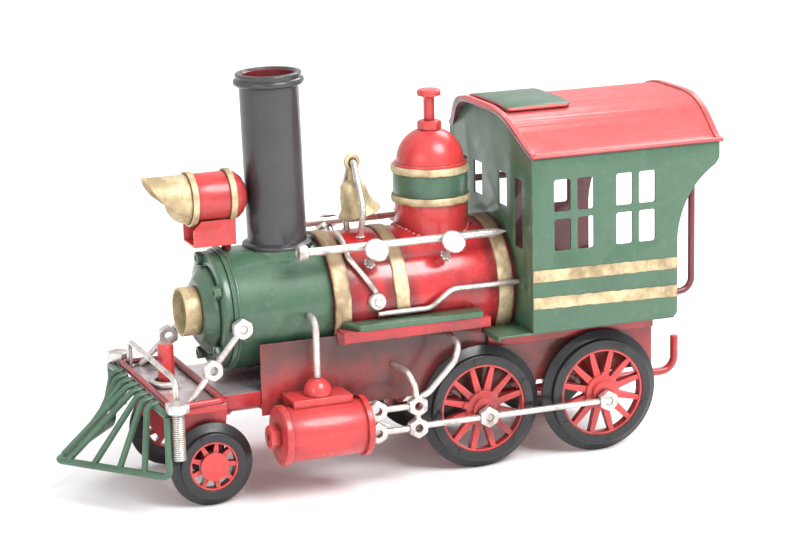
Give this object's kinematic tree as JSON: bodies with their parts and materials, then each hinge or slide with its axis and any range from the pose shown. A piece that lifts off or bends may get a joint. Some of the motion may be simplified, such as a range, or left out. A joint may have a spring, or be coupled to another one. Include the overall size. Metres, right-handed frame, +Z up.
{
  "type": "toy locomotive",
  "caption": "Sheet-metal steam locomotive toy with coupled driving wheels, side rods, swinging bell, saddle dome, tall chimney, open cab and wire pilot.",
  "frame": {"origin": "centre of the bounding box in plan, on the plane that the wheel flanges stand on", "axes": "+X forward along the boiler, +Y to the locomotive's left, +Z up"},
  "size_m": [0.2587, 0.0948, 0.1559],
  "materials": {
    "red_paint": "satin",
    "green_paint": "satin",
    "black_paint": "satin",
    "gold_paint": "satin",
    "plated_steel": "polished",
    "tin_plate": "satin"
  },
  "bodies": {
    "chassis": {"bell_yoke": "plated_steel", "boiler_bands": "gold_paint", "boiler_shell": "red_paint", "cab_floor": "green_paint", "cab_front": "green_paint", "cab_grab_rails": "red_paint", "cab_roof": "red_paint", "cab_sides": "green_paint", "cab_underframe": "red_paint", "chimney_rings": "black_paint", "chimney_tube": "black_paint", "coupling_link": "plated_steel", "coupling_post": "red_paint", "cowcatcher": "green_paint", "crosshead_frames": "plated_steel", "deck_rods": "red_paint", "dome_bands": "gold_paint", "dome_belt": "green_paint", "dome_cap": "red_paint", "dome_drum": "red_paint", "dome_valve": "red_paint", "door_nuts": "green_paint", "door_ring": "gold_paint", "drawbar_hook": "red_paint", "frame_crossmembers": "red_paint", "frame_sides": "red_paint", "front_bolts": "plated_steel", "front_braces": "plated_steel", "front_deck_and_floor": "tin_plate", "front_handrail": "plated_steel", "lamp_bands": "gold_paint", "lamp_body": "red_paint", "lamp_bracket": "red_paint", "lamp_hood": "gold_paint", "lamp_lens": "gold_paint", "pilot_bracket": "red_paint", "pipework": "plated_steel", "rail_nails": "plated_steel", "roof_hatch": "green_paint", "running_board_ledges": "red_paint", "running_boards": "green_paint", "side_rails": "plated_steel", "smokebox_door": "green_paint", "smokebox_front": "green_paint", "smokebox_shell": "green_paint", "steam_cylinders": "red_paint", "valve_chests": "red_paint"},
    "front_wheelset": {"front_driver_tyres": "black_paint", "front_driver_centres": "red_paint", "front_driver_axle": "plated_steel"},
    "rear_wheelset": {"rear_driver_tyres": "black_paint", "rear_driver_centres": "red_paint", "rear_driver_axle": "plated_steel"},
    "pilot_wheelset": {"pilot_tyres": "black_paint", "pilot_centres": "red_paint", "pilot_axle": "plated_steel"},
    "left_rod": {"side_rod_left": "plated_steel"},
    "right_rod": {"side_rod_right": "plated_steel"},
    "bell": {"bell_shell": "gold_paint"},
    "clapper": {"bell_clapper": "gold_paint"}
  },
  "joints": [
    {"name": "front_driver_spin", "type": "hinge", "parent": "chassis", "child": "front_wheelset", "pos_m": [-0.0302, 0, 0.0242], "axis": [0, 1, 0], "continuous": true},
    {"name": "rear_driver_spin", "type": "hinge", "parent": "chassis", "child": "rear_wheelset", "pos_m": [-0.0805, 0, 0.0242], "axis": [0, 1, 0], "continuous": true},
    {"name": "pilot_spin", "type": "hinge", "parent": "chassis", "child": "pilot_wheelset", "pos_m": [0.0778, 0, 0.0159], "axis": [0, 1, 0], "continuous": true},
    {"name": "left_rod_turn", "type": "hinge", "parent": "front_wheelset", "child": "left_rod", "pos_m": [-0.0302, 0.0358, 0.0222], "axis": [0, 1, 0], "continuous": true},
    {"name": "right_rod_turn", "type": "hinge", "parent": "front_wheelset", "child": "right_rod", "pos_m": [-0.0302, -0.0358, 0.0222], "axis": [0, 1, 0], "continuous": true},
    {"name": "bell_swing", "type": "hinge", "parent": "chassis", "child": "bell", "pos_m": [0.00935, 0, 0.1184], "axis": [0, 1, 0], "range_deg": [-30, 10]},
    {"name": "clapper_swing", "type": "hinge", "parent": "bell", "child": "clapper", "pos_m": [0.00894, 0, 0.10702], "axis": [0, 1, 0], "range_deg": [-18, 18]}
  ],
  "couplings": [
    {"joint": "rear_driver_spin", "follows": "front_driver_spin", "ratio": 1},
    {"joint": "left_rod_turn", "follows": "front_driver_spin", "ratio": -1},
    {"joint": "right_rod_turn", "follows": "front_driver_spin", "ratio": -1}
  ]
}
